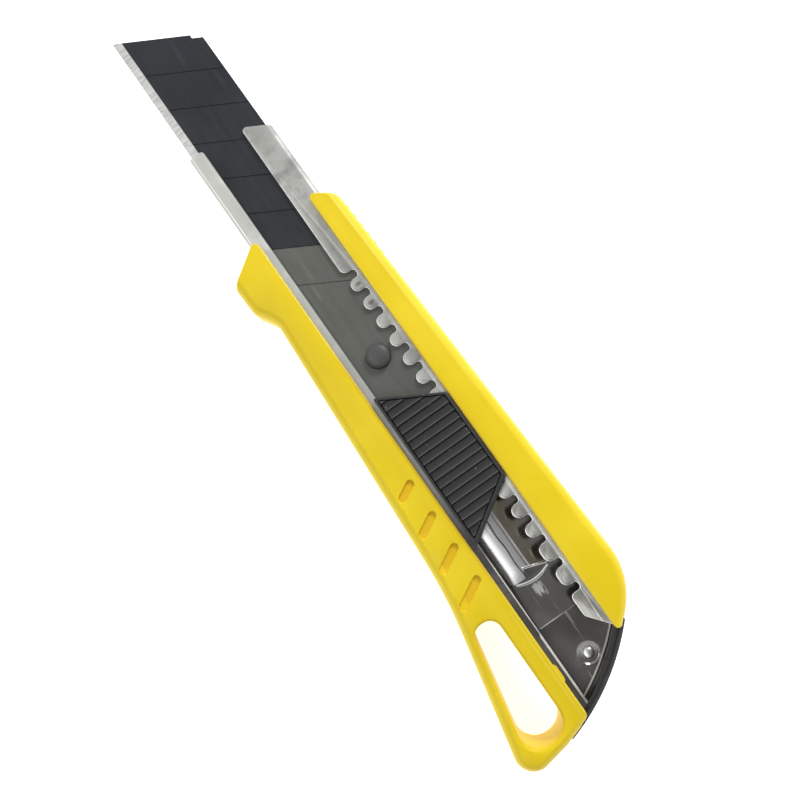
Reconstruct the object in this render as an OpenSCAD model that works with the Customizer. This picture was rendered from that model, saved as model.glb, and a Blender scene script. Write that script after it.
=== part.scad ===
// Snap-off utility knife with an auto-lock slider, drawn with part of the blade out.
// The design frame has x along the knife from the blade's tip to the tail, y from the
// cutting edge to the spine, and z up from the blade's upper face. placed() then moves
// everything so that the knife lies on z = 0, centred on the middle of its box.

/* [Blade] */
// Width of the blade from the cutting edge to the spine
blade_w = 18; // [15:0.5:22]
// Thickness of the blade
blade_t = 0.5; // [0.4:0.05:0.6]
// Spacing of the score lines along the cutting edge
segment_pitch = 10; // [8:0.5:10]
// Angle between a score line and the cutting edge
score_angle = 60; // [56:1:64]
// Length of the tang along its lower edge
tang_len = 32.5; // [32.5:0.5:34]
// Width of the ground bevel along the cutting edge
bevel_w = 1.9; // [1:0.1:3]

/* [Sheath] */
// Thickness of the folded steel sheet
sheet_t = 0.7; // [0.5:0.1:0.9]
// Height inside the channel, from its floor to the underside of its lips
channel_h = 4.2; // [4.2:0.1:5.1]
// Width of the lower lip, measured inside the channel
lower_lip_w = 3.25; // [2.5:0.25:4]
// Width of the toothed upper lip, measured inside the channel
upper_lip_w = 5.9; // [5.5:0.1:6.4]
// Length of blade that stands out in front of the sheath
blade_out = 34; // [30:1:38]
// Spacing of the ratchet notches
notch_pitch = 5; // [4.5:0.25:5.5]
// Width of one ratchet notch
notch_w = 1.8; // [1.6:0.1:2.2]
// Depth of the ratchet notches into the upper lip
notch_depth = 2.9; // [2.7:0.1:3.1]

/* [Handle] */
// Length of the handle from its front edge to the tail
handle_len = 130; // [124:1:160]
// Thickness of the handle
handle_t = 12; // [11:0.5:16]
// Radius of the handle's outer edges
handle_edge_r = 3; // [1.5:0.25:3.5]
// Width of the window between the two rails, less than the blade's width by this much
window_margin = 3; // [2.6:0.1:3.4]
// Radius of the curved tail
tail_r = 52.5; // [48:0.5:58]
// Width of the oblong finger dents
dent_w = 1.7; // [1.2:0.1:2.2]

/* [Slider] */
// Length of the slider's rim along its lower side
slider_len = 41; // [38:0.5:42]
// Thickness of the slider's rim
rim_w = 0.6; // [0.5:0.05:0.8]
// Height of the slider's rim above the lips
rim_h = 2.4; // [2.2:0.1:3]
// Diameter of the peg that holds the blade
peg_d = 5.4; // [4.5:0.1:6]
// Height of the peg above the blade
peg_h = 1.8; // [1.2:0.1:2.2]
// Spacing of the ribs across the thumb pad
rib_pitch = 2; // [1.6:0.1:2.6]
// Travel of the thumb pad
pad_travel = 0.75; // [0.7:0.01:0.8]
// Thickness of the lock spring
spring_t = 0.4; // [0.3:0.05:0.45]

/* [End cap] */
// Thickness of the end cap's wall
cap_t = 1.8; // [1.4:0.1:2.2]
// Length of the end cap's two prongs
prong_len = 15; // [10:0.5:18]
// Width of each prong
prong_w = 4; // [3:0.25:5]

/* [Hidden] */
$fn = 64;

// clearances
slide_gap = 0.05;      // between faces that slide on each other
side_gap = 0.15;       // each side of the carrier in the channel
pocket_gap = 0.05;     // round the sheath in the handle
peg_gap = 0.05;        // round the peg in the blade's hole
pad_gap = 0.15;        // round the thumb pad in the rim
cap_gap = 0.1;         // round the end cap in the handle

// colours
yellow = [0.93, 0.82, 0.10];
steel = [0.74, 0.74, 0.72];
dark_steel = [0.30, 0.31, 0.33];
black = [0.09, 0.09, 0.10];
grey = [0.24, 0.24, 0.25];

// blade
segment_count = 7;
function slant(y) = y / tan(score_angle);
tang_x = segment_pitch * segment_count;
blade_end = tang_x + tang_len;
score_w = 0.24;        // width of a score line
score_d = 0.12;        // depth of a score line
edge_t = 0.06;         // thickness left at the cutting edge
break_w = 1;           // step left by the segment that was snapped off before
break_h = 2.2;

// sheath: heights from the blade's upper face
lip_z = 0.1;
lip_top = lip_z + sheet_t;
floor_z = lip_z - channel_h;
sheath_bottom = floor_z - sheet_t;
sheath_gap = 0.3;      // between the blade's two long sides and the channel
channel_lo = -sheath_gap;
channel_hi = blade_w + sheath_gap;
lower_lip_y = channel_lo + lower_lip_w;
upper_lip_y = channel_hi - upper_lip_w;
floor_bend_r = 2.4;    // inside radius of the two lower bends
fold_r = 0.5;          // inside radius of the two upper folds
notch_count = 15;
park_pitch = 6;        // spacing of the last two notches
notch_top = upper_lip_y + notch_depth;
first_notch = 77;
last_notch = first_notch + (notch_count - 1) * notch_pitch;
notches = concat([for (i = [0:notch_count - 1]) first_notch + i * notch_pitch],
                 [last_notch + park_pitch, last_notch + 2 * park_pitch]);
rear_notch = last_notch + 2 * park_pitch;

// handle
handle_x = 56;
tail_x = handle_x + handle_len;
tail_c = [tail_x - tail_r, -18.4];
rail_top = lip_top + 1.4;
handle_bottom = rail_top - handle_t;
window_lo = 1.2;
window_hi = window_lo + blade_w - window_margin;
floor_r = tail_r - 1.9;             // the sheath's floor ends on this arc
cap_r = tail_r + 0.1;               // outer face of the end cap
cap_z = 0;                          // top of the end cap
cap_low_y = -4.3;
cap_high_y = blade_w + 1;
rivet_at = [tail_x - 13.3, 8.75];
rivet_d = 2.4;
rivet_seat_d = 5.6;    // room in the handle for the sheath's dimple
prong_offset = 4.3;    // each prong to the side of the rivet
dent_count = 4;
dent_at = [tail_x - 64.2, -1.6];
dent_pitch = 8.1;
dent_len = 3.4;
dent_growth = 0.95;    // each dent is this much longer than the one before
dent_lean = 28;
dent_depth = 0.7;
grip_tooth_count = 6;
grip_tooth_pitch = 2.52;
grip_tooth_r = 0.5;
upper_edge_slope = 0.034;

// slider
lock_notch = 9;
tooth_x = first_notch + lock_notch * notch_pitch;
slider_x0 = tooth_x - slider_len / 2 - 0.5;
slider_x1 = slider_x0 + slider_len;
rear_slope = 0.63;                  // how fast the slider's rear edge leans forward
slider_lo = window_lo + 1.1;
slider_hi = window_hi - 0.25;
rim_top = lip_top + rim_h;
deck_z = lip_top + 0.15;            // underside of the rim's deck, above the lips
deck_t = 0.5;
pad_z = deck_z + deck_t + pad_travel + slide_gap;
liner_t = 0.4;
liner_top = floor_z + liner_t;
carrier_z = liner_top + slide_gap;
carrier_top = lip_z - side_gap;
tongue_top = -blade_t - slide_gap;
peg_at = [95.1, 8.55];
bore_z = -2.35;                     // floor of the lock spring's pocket
spring_z = bore_z + 1;              // underside of the lock spring
spring_y = [5.4, 10.1];
spring_x = [tooth_x - 15.4, tooth_x + 4];
arm_w = 2.8;
tooth_w = notch_w - 0.4;
tooth_y = [upper_lip_y + 0.3, notch_top - 0.2];
stem_w = 3;
spring_rivet_y = [spring_y[0] + 1, spring_y[1] - 1];
guide_at = [tooth_x + 11.5, 7.6];      // the thumb pad's guide post
guide_d = 2.4;

// liner rib
rib_y = [3.3, 12.6];
rib_rise = 0.6;
rib_x = [92, 152.3];
groove_h = 0.85;

// outline of the handle, anticlockwise from the guard's tip: x, y and corner radius
tail_a = [7.2, 48.3];
function on_tail(a, d) = tail_c + tail_r * [cos(a), sin(a)] + d * [-sin(a), cos(a)];
function with_r(p, r) = [p.x, p.y, r];
tail_mid = (tail_a[0] + tail_a[1]) / 2;
tail_corner = tail_c + tail_r / cos((tail_a[1] - tail_a[0]) / 2) * [cos(tail_mid), sin(tail_mid)];
handle_corners = [
    [handle_x + 1.2, 1.4, 0.8],
    [handle_x + 8.2, -8.8, 1.5],
    [handle_x + 15.4, -8.5, 3.5],
    [handle_x + 20.4, -5.5, 5],
    [tail_x - 40.6, -9, 100],
    with_r(on_tail(tail_a[0], -6.1) + [-0.05, 0.083], 4.2),
    with_r(tail_corner, tail_r),
    with_r(on_tail(tail_a[1], 7.2) + [0, blade_w - 18], 16),
    [handle_x + 3.4, blade_w + 4.1, 1.5],
    [handle_x - 0.8, blade_w - 1.6, 0.8]];
// finger hole in the tail
hole_corners = [
    [tail_x - 31.8, -3.1, 2.7],
    [tail_x - 31.8, -8.6, 2.6],
    [tail_x - 4, -14, 4.5],
    [tail_x - 4, -3.1, 5]];

// points of a closed outline, inset by d, with every corner rounded to its own radius
least_r = 0.3;         // smallest radius left on an inset corner
function unit(v) = v / norm(v);
function left(v) = [-v.y, v.x];
function xy(p) = [p.x, p.y];
function corner_dirs(c, i) =
    let (n = len(c))
    [unit(xy(c[i]) - xy(c[(i + n - 1) % n])), unit(xy(c[(i + 1) % n]) - xy(c[i]))];
function inset_corner(c, i, d) =
    let (u = corner_dirs(c, i), a = left(u[0]), b = left(u[1]))
    xy(c[i]) + d * (a + b) / (1 + a * b);
function fillet(c, i, d) =
    let (u = corner_dirs(c, i),
         turn = cross(u[0], u[1]),
         side = turn > 0 ? 1 : -1,
         angle = acos(max(-1, min(1, u[0] * u[1]))),
         r = max(least_r, c[i][2] - side * d),
         p = inset_corner(c, i, d),
         start = p - u[0] * r * tan(angle / 2),
         centre = start + side * r * left(u[0]),
         steps = max(3, ceil(angle / 7)))
    [for (k = [0:steps]) let (t = side * angle * k / steps, v = start - centre)
        centre + [v.x * cos(t) - v.y * sin(t), v.x * sin(t) + v.y * cos(t)]];
function outline(c, d = 0) = [for (i = [0:len(c) - 1]) each fillet(c, i, d)];

handle_outline = outline(handle_corners);
x_max = max([for (p = handle_outline) p.x]);
y_max = max([for (p = handle_outline) p.y]);
y_min = min([for (p = handle_outline) p.y]);

// ---------------------------------------------------------------- shared shapes
module placed() translate([-x_max / 2, -(y_max + y_min) / 2, -handle_bottom]) children();

// box between two corners
module span(a, b) translate(a) cube(b - a);

// solid slab over an outline, with its two outer edges rounded to radius r
module rounded_slab(corners, z0, z1, r, steps = 4) intersection() {
    low = [for (k = [0:steps]) let (a = 90 * k / steps) [r * (1 - sin(a)), z0 + r * (1 - cos(a))]];
    high = [for (k = [steps:-1:0]) let (a = 90 * k / steps) [r * (1 - sin(a)), z1 - r * (1 - cos(a))]];
    levels = concat([[r, z0 - 1]], low, high, [[r, z1 + 1]]);
    rings = [for (s = levels) [for (p = outline(corners, s[0])) [p.x, p.y, s[1]]]];
    n = len(rings[0]);
    m = len(rings);
    sides = [for (j = [0:m - 2], i = [0:n - 1])
        [(j + 1) * n + i, (j + 1) * n + (i + 1) % n, j * n + (i + 1) % n, j * n + i]];
    polyhedron(points = [for (g = rings) each g],
        faces = concat([[for (i = [n - 1:-1:0]) i]], [[for (i = [0:n - 1]) (m - 1) * n + i]], sides));
    span([handle_x - 30, -60, z0], [tail_x + 30, 60, z1]);
}

// profile drawn in y and z, carried along x from x0 to x1
module along_x(x0, x1) translate([x0, 0, 0]) rotate([90, 0, 90]) linear_extrude(x1 - x0) children();

// what a rounding of radius r takes off a square corner at the origin
module corner_waste(r) difference() {
    translate([-0.1, -0.1]) square(r + 0.1);
    translate([r, r]) circle(r);
}

// rectangle whose lower corners have radius r0 and upper corners radius r1
module round_rect(y0, y1, z0, z1, r0, r1) difference() {
    translate([y0, z0]) square([y1 - y0, z1 - z0]);
    translate([y0, z0]) corner_waste(r0);
    translate([y1, z0]) mirror([1, 0]) corner_waste(r0);
    translate([y0, z1]) mirror([0, 1]) corner_waste(r1);
    translate([y1, z1]) mirror([1, 0]) mirror([0, 1]) corner_waste(r1);
}

// slot with round ends from point a to point b
module slot(a, b, w, h) {
    v = b - a;
    translate([a.x, a.y, 0]) {
        cylinder(d = w, h = h);
        translate([v.x, v.y, 0]) cylinder(d = w, h = h);
        rotate(atan2(v.y, v.x)) translate([0, -w / 2, 0]) cube([norm(v), w, h]);
    }
}

// slider outline, inset by d, and by rear at its rear edge
function slider_plan(d, rear) =
    let (lo = slider_lo + d, hi = slider_hi - d,
         front = slider_x0 + d / sin(score_angle),
         back = slider_x1 - rear * sqrt(1 + rear_slope * rear_slope))
    [[front + slant(lo), lo], [back - rear_slope * lo, lo],
     [back - rear_slope * hi, hi], [front + slant(hi), hi]];

// ---------------------------------------------------------------- handle
// rounds off a rail's corner at p, towards dir
module corner_cut(p, r, dir) translate([p.x, p.y, lip_top + pocket_gap / 2])
    mirror([dir.x < 0 ? 1 : 0, 0, 0]) mirror([0, dir.y < 0 ? 1 : 0, 0]) linear_extrude(4) {
        corner_waste(r);
        translate([-4, -4]) square([4, 4 + r]);
        translate([-1, -4]) square([1 + r, 4]);
    }

module tail_ring(r0, r1, z0, z1, y0, y1) intersection() {
    translate([tail_c.x, tail_c.y, z0]) difference() {
        cylinder(r = r1, h = z1 - z0, $fn = 180);
        translate([0, 0, -1]) cylinder(r = r0, h = z1 - z0 + 2, $fn = 180);
    }
    span([tail_x - 30, y0, z0 - 1], [tail_x + 10, y1, z1 + 1]);
}

module prongs(gap) for (y = [rivet_at.y - prong_offset, rivet_at.y + prong_offset])
    span([tail_x - 9 - prong_len - gap, y - prong_w / 2 - gap, handle_bottom + 1.6 - gap],
         [tail_x - 6, y + prong_w / 2 + gap, sheath_bottom - 1.1 + gap]);

module dents() for (i = [0:dent_count - 1]) {
    a = dent_at + [dent_pitch * i, 0];
    length = dent_len + dent_growth * i;
    translate([0, 0, rail_top - dent_depth])
        slot(a, a + length * [sin(dent_lean), -cos(dent_lean)], dent_w, 2);
}

module handle_body() color(yellow) placed() {
    difference() {
        union() {
            rounded_slab(handle_corners, handle_bottom, rail_top, handle_edge_r);
            // small grip teeth on the upper edge, behind the front corner
            for (i = [0:grip_tooth_count - 1]) {
                x = handle_x + 7.5 + grip_tooth_pitch * i;
                y = blade_w + 4.1 + (x - handle_x - 3.4) * upper_edge_slope - grip_tooth_r / 2;
                translate([x, y, handle_bottom + 4])
                    cylinder(r = grip_tooth_r, h = handle_t - 6.6, $fn = 24);
            }
        }
        // pocket that holds the sheath, and the window over it
        span([handle_x - 5, channel_lo - sheet_t - pocket_gap, sheath_bottom],
             [tail_x + 5, channel_hi + sheet_t + pocket_gap, lip_top + pocket_gap]);
        span([handle_x - 5, window_lo, sheath_bottom + 1], [tail_x + 5, window_hi, rail_top + 1]);
        corner_cut([handle_x - 0.5, window_hi], 1.2, [1, 1]);
        corner_cut([handle_x + 1.3, window_lo], 2, [1, -1]);
        corner_cut([tail_x - 15.1, window_hi], 1.2, [-1, 1]);
        corner_cut([tail_x - 3.9, window_lo], 1.5, [-1, -1]);
        // seat of the end cap and the slots of its prongs
        tail_ring(floor_r + 0.2, tail_r + 5, handle_bottom - 1, cap_z + cap_gap,
                  cap_low_y - cap_gap, cap_high_y + 0.3);
        prongs(cap_gap);
        translate([0, 0, handle_bottom - 1]) linear_extrude(handle_t + 2) polygon(outline(hole_corners));
        dents();
        translate([rivet_at.x, rivet_at.y, sheath_bottom - 3.1]) cylinder(d = rivet_d, h = 4);
        translate([rivet_at.x, rivet_at.y, sheath_bottom - 0.6]) cylinder(d = rivet_seat_d, h = 1);
    }
    // small stop bump on the lower rail's inner edge
    intersection() {
        translate([tail_x - 14.7, window_lo - 2.75, lip_top + pocket_gap])
            cylinder(r = 3.2, h = rail_top - 0.4 - lip_top - pocket_gap);
        span([tail_x - 19, window_lo - 0.5, lip_top], [tail_x - 10, window_lo + 1, rail_top]);
    }
}

// ---------------------------------------------------------------- sheath
module sheath_section() difference() {
    round_rect(channel_lo - sheet_t, channel_hi + sheet_t, sheath_bottom, lip_top,
               floor_bend_r + sheet_t, fold_r + sheet_t);
    round_rect(channel_lo, channel_hi, floor_z, lip_z, floor_bend_r, fold_r);
}

// one lobe of the upper lip between two notches, or the plain lip before and after them
module lobe(x0, x1) {
    r = min(1.6, (x1 - x0) / 2);
    translate([x0, upper_lip_y + r]) square([x1 - x0, notch_depth - r + 1]);
    if (x1 - x0 > 2 * r) translate([x0 + r, upper_lip_y]) square([x1 - x0 - 2 * r, r + 0.01]);
    for (x = x1 - x0 > 2 * r ? [x0 + r, x1 - r] : [x0 + r]) translate([x, upper_lip_y + r]) circle(r);
}

module lip_opening() difference() {
    union() {
        translate([0, lower_lip_y]) square([tail_x + 5, notch_top - lower_lip_y]);
        // the upper lip runs out toward the tail
        polygon([[rear_notch + 6, upper_lip_y], [tail_x + 5, upper_lip_y],
                 [tail_x + 5, channel_hi - 2], [rear_notch + 11, channel_hi - 2]]);
    }
    lobe(0, notches[0] - notch_w / 2);
    for (i = [0:len(notches) - 2]) lobe(notches[i] + notch_w / 2, notches[i + 1] - notch_w / 2);
    difference() {
        lobe(rear_notch + notch_w / 2, rear_notch + 12);
        polygon([[rear_notch + 6, upper_lip_y - 1], [rear_notch + 20, upper_lip_y - 1],
                 [rear_notch + 11, channel_hi - 2]]);
    }
}

module rivet_dimple(gap) translate([rivet_at.x, rivet_at.y, floor_z])
    rotate_extrude() polygon([[0, 0.1], [2.45 - gap, 0.1], [2.35 - gap, 0], [1.75 - gap, -0.5], [0, -0.5]]);

module sheath() color(steel) placed() difference() {
    union() {
        intersection() {
            along_x(0, tail_x) sheath_section();
            // plan outline: the front follows the blade's slant on the upper side
            translate([0, 0, sheath_bottom - 1]) linear_extrude(channel_h + 4)
                polygon([[blade_out + 0.9, channel_lo - 2], [blade_out - 0.1, 0.6], [blade_out - 0.1, 2],
                         [blade_out + 1.2, upper_lip_y], [blade_out + 1.2 + slant(9), upper_lip_y + 9],
                         [tail_x, upper_lip_y + 9], [tail_x, channel_lo - 2]]);
            translate([tail_c.x, tail_c.y, sheath_bottom - 1]) union() {
                cylinder(r = floor_r, h = channel_h + 4, $fn = 180);
                translate([-200, -20, 0]) cube([200, 90, channel_h + 4]);
            }
        }
        translate([0, 0, -sheet_t]) rivet_dimple(0);
    }
    translate([0, 0, lip_z - 0.5]) linear_extrude(sheet_t + 1) lip_opening();
    rivet_dimple(0.01);
    translate([rivet_at.x, rivet_at.y, sheath_bottom - 1]) cylinder(d = rivet_d, h = 3);
}

// section of the liner's pressed rib, a low arch of sheet
function arch(y0, y1, z, rise, steps = 12) =
    let (w = (y1 - y0) / 2, r = (w * w + rise * rise) / (2 * rise), a = asin(w / r))
    [for (k = [0:steps]) let (t = -a + 2 * a * k / steps)
        [(y0 + y1) / 2 + r * sin(t), z + rise - r + r * cos(t)]];
function reversed(p) = [for (i = [len(p) - 1:-1:0]) p[i]];

module sheath_liner() color(steel) placed() {
    end_y = (rib_y[0] + rib_y[1]) / 2;
    difference() {
        span([rib_x[0] - 4, lower_lip_y + 0.05, floor_z],
             [tail_x - 23.1, channel_hi - 3, floor_z + liner_t]);
        span([rib_x[0], rib_y[0], floor_z - 1], [rib_x[1] - 1.8, rib_y[1], floor_z + 1]);
        // opening behind the rib's end
        translate([0, 0, floor_z - 1]) linear_extrude(2)
            polygon([[rib_x[1] - 2, rib_y[0] + 1], [rib_x[1], rib_y[0] + 2.7], [rib_x[1], rib_y[1] - 0.6],
                     [rib_x[1] - 2, rib_y[1] - 0.2]]);
    }
    // the rib, cut back to a notch at its rear end
    difference() {
        along_x(rib_x[0], rib_x[1] - 0.4)
            polygon(concat(arch(rib_y[0] - 0.2, rib_y[1] + 0.2, liner_top, rib_rise),
                reversed(arch(rib_y[0] + 0.3, rib_y[1] - 0.3, floor_z, rib_rise))));
        translate([0, 0, floor_z - 1]) linear_extrude(4)
            polygon([[rib_x[1] + 1, rib_y[0] + 1.2], [rib_x[1] - 2.2, end_y + 1.2],
                     [rib_x[1] + 1, rib_y[1] + 1.6]]);
    }
    // low bead round the opening
    translate([rib_x[1] - 5.2, end_y, liner_top - 0.1]) intersection() {
        rotate_extrude() translate([6.2, 0.1]) scale([1.6, 1]) circle(0.35, $fn = 24);
        span([3, -4.3, 0], [10, 4.3, 1]);
    }
}

module tail_rivet() color(steel) placed() translate([rivet_at.x, rivet_at.y, floor_z - 0.5])
    rotate_extrude() polygon(concat([[0, -3.2], [rivet_d / 2, -3.2], [rivet_d / 2, 0], [1.45, 0]],
        [for (a = [0:10:90]) [1.45 * cos(a), 0.15 + 0.75 * sin(a)]]));

// ---------------------------------------------------------------- end cap
module end_cap() color(black) placed() {
    tail_ring(cap_r - cap_t, cap_r, handle_bottom + 0.4, cap_z, cap_low_y, cap_high_y);
    intersection() {
        prongs(0);
        translate([tail_c.x, tail_c.y, handle_bottom])
            cylinder(r = cap_r - cap_t / 2, h = handle_t, $fn = 180);
    }
}

// ---------------------------------------------------------------- slider
module carrier_section() round_rect(channel_lo + side_gap, channel_hi - side_gap,
    carrier_z, carrier_top, floor_bend_r + 0.2, 0.2);

module slider_body() difference() {
    union() {
        // base that slides in the channel; its tongue lies under the blade
        intersection() {
            along_x(peg_at.x - 4.1, slider_x1) carrier_section();
            translate([0, 0, carrier_z - 1]) linear_extrude(channel_h + 2)
                polygon([[0, -5], [slider_x1 - 0.6 + rear_slope * 5, -5],
                         [slider_x1 - 0.6 - rear_slope * 30, 30], [0, 30]]);
        }
        // neck between the lips, and the deck with its rim above them
        intersection() {
            span([blade_end + slant(lower_lip_y), lower_lip_y + 0.3, carrier_top - 1],
                 [slider_x1, upper_lip_y - 0.3, deck_z + 0.1]);
            translate([0, 0, carrier_top - 1]) linear_extrude(4) polygon(slider_plan(1, 1));
        }
        translate([0, 0, deck_z]) linear_extrude(rim_top - deck_z) polygon(slider_plan(0, 0));
    }
    // room for the blade on the tongue
    translate([0, 0, tongue_top]) linear_extrude(deck_z - tongue_top)
        polygon([[0, -5], [blade_end + 0.15 + slant(-5), -5],
                 [blade_end + 0.15 + slant(30), 30], [0, 30]]);
    // recess for the thumb pad
    translate([0, 0, deck_z + deck_t]) linear_extrude(5) polygon(slider_plan(rim_w, rim_w + 0.4));
    // pocket of the lock spring, its arm and its tooth
    span([spring_x[0] - 0.2, spring_y[0] - 0.3, spring_z], [tooth_x + 7, spring_y[1] + 0.3, rim_top + 1]);
    span([spring_x[0] + 5.6, spring_y[0] - 0.3, bore_z], [tooth_x + 7, spring_y[1] + 0.3, rim_top + 1]);
    span([tooth_x - arm_w / 2 - 0.6, spring_y[0], bore_z],
         [tooth_x + arm_w / 2 + 0.6, tooth_y[1] + 0.4, deck_z - 0.01]);
    // holes of the spring's rivets and of the pad's guide post
    for (y = spring_rivet_y) translate([spring_x[0] + 2.4, y, spring_z - 1.2]) cylinder(d = 1.4, h = 2);
    translate([guide_at.x, guide_at.y, bore_z]) cylinder(d = guide_d + 2 * slide_gap, h = 5);
    // groove that clears the liner's rib
    span([0, rib_y[0] - 0.4, carrier_z - 1], [tail_x, rib_y[1] + 0.4, carrier_z + groove_h]);
}

module peg() translate([peg_at.x, peg_at.y, tongue_top - 0.2]) {
    cylinder(d = peg_d, h = peg_h - tongue_top - 0.5);
    translate([0, 0, peg_h - tongue_top - 0.5]) cylinder(d1 = peg_d, d2 = peg_d - 1.5, h = 0.7);
}

module slider_carrier() color(grey) placed() {
    slider_body();
    peg();
}

module lock_spring() color(steel) placed() difference() {
    union() {
        span([spring_x[0], spring_y[0], spring_z], [spring_x[1], spring_y[1], spring_z + spring_t]);
        span([tooth_x - arm_w / 2, spring_y[0], spring_z],
             [tooth_x + arm_w / 2, tooth_y[1], spring_z + spring_t]);
        span([tooth_x - tooth_w / 2, tooth_y[0], spring_z], [tooth_x + tooth_w / 2, tooth_y[1], lip_top - 0.05]);
    }
    for (y = spring_rivet_y) translate([spring_x[0] + 2.4, y, spring_z - 1]) cylinder(d = 1.4, h = 3);
}

module spring_rivets() color(steel) placed() for (y = spring_rivet_y)
    translate([spring_x[0] + 2.4, y, spring_z - 1.2]) {
        cylinder(d = 1.4, h = 1.2 + spring_t);
        translate([0, 0, 1.2 + spring_t]) cylinder(d1 = 2.2, d2 = 1.4, h = 0.4);
    }

module thumb_pad() color(grey) placed() {
    face_t = 0.6;
    rib_h = 0.55;
    difference() {
        translate([0, 0, pad_z]) linear_extrude(face_t + rib_h)
            polygon(slider_plan(rim_w + pad_gap, rim_w + 0.4 + pad_gap));
        for (x = [slider_x0 + 1.4:rib_pitch:slider_x1]) translate([x, 0, pad_z + face_t + rib_h])
            rotate([-90, 0, 0]) rotate(180) linear_extrude(blade_w)
                polygon([[-0.72, 0.1], [0.72, 0.1], [0.45, -rib_h], [-0.45, -rib_h]]);
    }
    // stem that presses the lock spring, and the guide post
    span([tooth_x - stem_w / 2, 7.6 - stem_w / 2, spring_z + spring_t],
         [tooth_x + stem_w / 2, 7.6 + stem_w / 2, pad_z + 0.1]);
    translate([guide_at.x, guide_at.y, bore_z + pad_travel + 0.2])
        cylinder(d = guide_d, h = pad_z - bore_z - pad_travel - 0.1);
}

// ---------------------------------------------------------------- blade
// ground blade section, carried along x
module blade_stock(z0, z1) intersection() {
    along_x(-5, blade_end + 30)
        polygon([[0, -blade_t / 2 - edge_t / 2], [bevel_w, -blade_t], [blade_w, -blade_t],
                 [blade_w, 0], [bevel_w, 0], [0, -blade_t / 2 + edge_t / 2]]);
    span([-5, 0, z0], [blade_end + 30, blade_w, z1]);
}

// the part of the blade between two score lines, inset by d at each
module between(x0, x1, d) translate([0, 0, -1]) linear_extrude(3)
    polygon([[x0 + d, 0], [x1 - d, 0], [x1 - d + slant(blade_w), blade_w], [x0 + d + slant(blade_w), blade_w]]);

module blade_piece(x0, x1) {
    intersection() {
        blade_stock(-blade_t, -score_d);
        between(x0, x1, 0);
    }
    intersection() {
        blade_stock(-score_d, 0);
        between(x0, x1, score_w / 2);
    }
}

module blade_segment(i) color(i < 7 ? dark_steel : steel * 0.6) placed() difference() {
    blade_piece(segment_pitch * (i - 1), segment_pitch * i);
    if (i == 1) translate([0, 0, -1]) linear_extrude(2)
        polygon([[-2, blade_w - break_h], [slant(blade_w - break_h) + break_w, blade_w - break_h],
                 [slant(blade_w + 2) + break_w, blade_w + 2], [-2, blade_w + 2]]);
}

module blade_segment_1() blade_segment(1);
module blade_segment_2() blade_segment(2);
module blade_segment_3() blade_segment(3);
module blade_segment_4() blade_segment(4);
module blade_segment_5() blade_segment(5);
module blade_segment_6() blade_segment(6);
module blade_segment_7() blade_segment(7);

module blade_tang() color(steel * 0.6) placed() difference() {
    blade_piece(tang_x, blade_end);
    translate([peg_at.x, peg_at.y, -1]) cylinder(d = peg_d + 2 * peg_gap, h = 2);
}

handle_body();
sheath();
sheath_liner();
tail_rivet();
end_cap();
slider_carrier();
lock_spring();
spring_rivets();
thumb_pad();
blade_tang();
blade_segment_1();
blade_segment_2();
blade_segment_3();
blade_segment_4();
blade_segment_5();
blade_segment_6();
blade_segment_7();
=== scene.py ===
# %% [markdown]
# # A snap-off utility knife
# A steel channel is held in a moulded grip. A strip of blade slides in the channel, pushed by a
# thumb slider that locks in a row of notches. Everything is modelled here in millimetres, in the
# maker's own frame: x runs from the blade's tip to the tail, y from the cutting edge to the
# spine, and z upwards from the blade's upper face. Each finished mesh is then moved into the
# packed model's frame, in metres, so that every object ends at the origin.

# %% Load the packed model
import bmesh
import bpy
import math
from mathutils import Matrix, Vector


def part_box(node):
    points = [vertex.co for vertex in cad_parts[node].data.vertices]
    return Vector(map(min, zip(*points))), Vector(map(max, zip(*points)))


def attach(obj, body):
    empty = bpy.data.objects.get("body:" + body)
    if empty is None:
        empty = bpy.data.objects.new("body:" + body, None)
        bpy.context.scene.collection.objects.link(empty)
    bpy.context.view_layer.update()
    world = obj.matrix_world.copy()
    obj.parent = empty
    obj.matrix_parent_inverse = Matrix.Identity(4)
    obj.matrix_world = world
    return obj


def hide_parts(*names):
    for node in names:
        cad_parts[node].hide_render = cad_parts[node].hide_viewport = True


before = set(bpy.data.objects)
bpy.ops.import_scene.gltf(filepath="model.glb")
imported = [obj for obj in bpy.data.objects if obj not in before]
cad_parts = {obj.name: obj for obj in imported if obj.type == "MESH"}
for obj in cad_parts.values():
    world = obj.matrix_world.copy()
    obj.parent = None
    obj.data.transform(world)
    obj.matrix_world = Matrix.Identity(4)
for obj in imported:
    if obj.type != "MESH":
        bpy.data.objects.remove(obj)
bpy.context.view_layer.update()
SHIFT = Vector((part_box("blade_segment_1")[0].x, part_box("blade_tang")[0].y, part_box("blade_tang")[1].z))
TO_FRAME = Matrix.Translation(SHIFT) @ Matrix.Scale(0.001, 4)

# %% [markdown]
# ## Places that pieces and finishes share
# The tail is part of a circle, and the channel, its seat and the end cap all follow that circle.
# The rivet, the peg and the lips' edges also matter to more than one piece or finish. They could
# be typed again at each use, but written once they keep the pieces together, and the painted
# highlights fall where the pieces are.

# %% Shared places
TAIL_C, TAIL_R = Vector((133.5, -18.4)), 52.5
SHEATH_R, CAP_IN_R, CAP_OUT_R = 50.6, 50.8, 52.6
RIVET_AT, PEG_AT = (172.7, 8.75), (95.1, 8.55)
LOW_LIP, HIGH_LIP = 2.95, 12.4
TOP, BOTTOM = 2.2, -9.8
SLANT = math.radians(60)
COT = 1 / math.tan(SLANT)


def on_tail(degrees, along=0.0, r=TAIL_R):
    """A point on the tail's circle, moved along the circle's tangent there."""
    outwards = Vector((math.cos(math.radians(degrees)), math.sin(math.radians(degrees))))
    return TAIL_C + r * outwards + along * Vector((-outwards.y, outwards.x))


print("the tail reaches x =", round(on_tail(20).x, 1), "mm at 20 degrees")

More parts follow.
